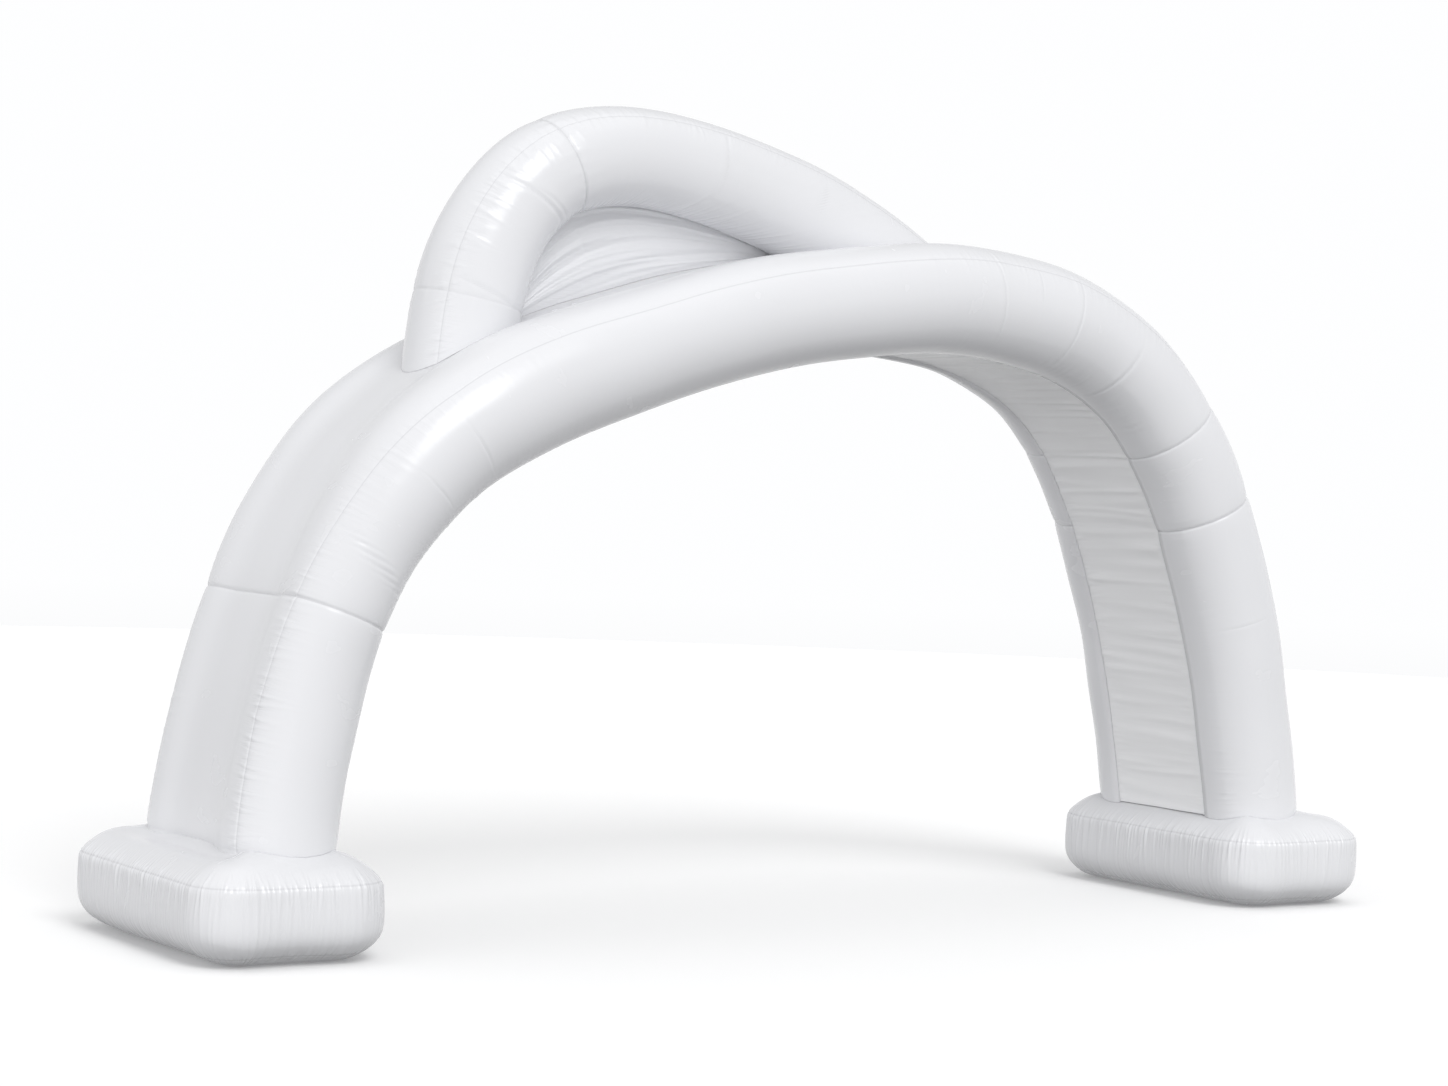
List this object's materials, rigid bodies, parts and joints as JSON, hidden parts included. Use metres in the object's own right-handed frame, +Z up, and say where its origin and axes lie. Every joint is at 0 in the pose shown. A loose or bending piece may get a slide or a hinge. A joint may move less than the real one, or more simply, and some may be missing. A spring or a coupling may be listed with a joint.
{
  "type": "inflatable arch",
  "caption": "Free standing inflatable archway of white coated cloth, with puffy feet, a gathered inner web and a raised loop with a header panel on its crown.",
  "frame": {"origin": "on the ground, midway between the two feet", "axes": "+X along the span from the low shoulder to the high one, +Y from the front to the back, +Z up"},
  "size_m": [6.96, 1.686, 4.0292],
  "materials": {
    "foot_cloth": "white coated cloth, satin gloss",
    "tube_cloth": "white coated cloth, satin gloss",
    "web_cloth": "white coated cloth, gathered, satin",
    "loop_cloth": "white coated cloth, satin gloss",
    "header_cloth": "white coated cloth, gathered, satin"
  },
  "bodies": {
    "root": {"foot_left": "foot_cloth", "foot_right": "foot_cloth", "arch_body": "tube_cloth", "inner_web": "web_cloth", "crown_loop": "loop_cloth", "header_panel": "header_cloth"}
  },
  "joints": []
}
